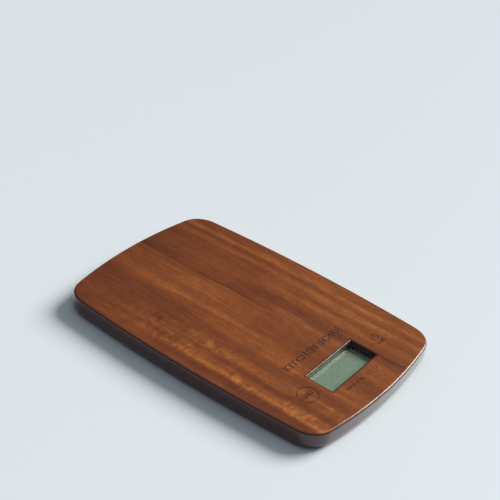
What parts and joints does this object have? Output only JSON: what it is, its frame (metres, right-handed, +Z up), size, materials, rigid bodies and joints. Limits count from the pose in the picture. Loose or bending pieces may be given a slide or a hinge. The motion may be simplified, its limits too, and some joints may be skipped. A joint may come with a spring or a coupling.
{
  "type": "kitchen scale",
  "caption": "Slim electronic kitchen scale: a lacquered wooden slab with bowed edges is the weighing platform, with a recessed display window, touch keys and sprung weighing feet.",
  "frame": {"origin": "on the table plane, under the centre of the plan", "axes": "+Z up; +Y along the long axis, away from the user; the display end faces the user at -Y; +X to the user's right"},
  "size_m": [0.1586, 0.23, 0.0145],
  "materials": {
    "acacia_wood": "satin lacquer",
    "clear_acrylic": "polished",
    "black_foam": "closed-cell foam",
    "display_glass": "reflective grey-green liquid crystal",
    "black_epoxy": "glossy potting",
    "white_plastic": "fine texture",
    "circuit_board": "green solder mask",
    "spring_steel": "nickel plated",
    "black_plastic": "fine spark texture",
    "cell_can": "nickel-plated can",
    "red_pvc": "smooth insulation",
    "black_pvc": "smooth insulation",
    "grey_pvc": "smooth insulation",
    "screw_steel": "zinc plated",
    "load_cell_steel": "stamped",
    "white_silicone": "soft",
    "grey_rubber": "matt moulded"
  },
  "bodies": {
    "scale_body": {"base_cover": "black_plastic", "battery_holder": "black_plastic", "battery_lead_minus": "black_pvc", "battery_lead_plus": "red_pvc", "cell_carrier_front_left": "black_plastic", "cell_carrier_front_right": "black_plastic", "cell_carrier_rear_left": "black_plastic", "cell_carrier_rear_right": "black_plastic", "cell_lead_front_left": "grey_pvc", "cell_lead_front_right": "grey_pvc", "cell_lead_rear_left": "grey_pvc", "cell_lead_rear_right": "grey_pvc", "chip_blob": "black_epoxy", "coin_cell": "cell_can", "contact_negative": "spring_steel", "contact_positive": "spring_steel", "cover_screw_1": "screw_steel", "cover_screw_2": "screw_steel", "cover_screw_3": "screw_steel", "cover_screw_4": "screw_steel", "cover_screw_5": "screw_steel", "cover_screw_6": "screw_steel", "cover_screw_7": "screw_steel", "cover_screw_8": "screw_steel", "gauge_coating_front_left": "white_silicone", "gauge_coating_front_right": "white_silicone", "gauge_coating_rear_left": "white_silicone", "gauge_coating_rear_right": "white_silicone", "lcd_frame": "white_plastic", "lcd_front_glass": "display_glass", "lcd_rear_glass": "display_glass", "lens_gasket": "black_foam", "load_cell_front_left": "load_cell_steel", "load_cell_front_right": "load_cell_steel", "load_cell_rear_left": "load_cell_steel", "load_cell_rear_right": "load_cell_steel", "main_pcb": "circuit_board", "pcb_screw_1": "screw_steel", "pcb_screw_2": "screw_steel", "pcb_screw_3": "screw_steel", "pcb_screw_4": "screw_steel", "touch_pad_tare": "spring_steel", "touch_pad_unit": "spring_steel", "window_lens": "clear_acrylic", "wood_body": "acacia_wood", "zebra_strip": "black_epoxy"},
    "foot_front_left": {"foot_cup_front_left": "black_plastic", "foot_pad_front_left": "grey_rubber"},
    "foot_front_right": {"foot_cup_front_right": "black_plastic", "foot_pad_front_right": "grey_rubber"},
    "foot_rear_left": {"foot_cup_rear_left": "black_plastic", "foot_pad_rear_left": "grey_rubber"},
    "foot_rear_right": {"foot_cup_rear_right": "black_plastic", "foot_pad_rear_right": "grey_rubber"},
    "battery_door": {"battery_door": "black_plastic"}
  },
  "joints": [
    {"name": "foot_front_left_press", "type": "slide", "parent": "scale_body", "child": "foot_front_left", "axis": [0, 0, 1], "range_m": [0, 0.0004], "stiffness_N_per_m": 500},
    {"name": "foot_front_right_press", "type": "slide", "parent": "scale_body", "child": "foot_front_right", "axis": [0, 0, 1], "range_m": [0, 0.0004], "stiffness_N_per_m": 500},
    {"name": "foot_rear_left_press", "type": "slide", "parent": "scale_body", "child": "foot_rear_left", "axis": [0, 0, 1], "range_m": [0, 0.0004], "stiffness_N_per_m": 500},
    {"name": "foot_rear_right_press", "type": "slide", "parent": "scale_body", "child": "foot_rear_right", "axis": [0, 0, 1], "range_m": [0, 0.0004], "stiffness_N_per_m": 500},
    {"name": "battery_door_hinge", "type": "hinge", "parent": "scale_body", "child": "battery_door", "pos_m": [0, -0.0076, 0.00285], "axis": [1, 0, 0], "range_deg": [0, 85]}
  ]
}
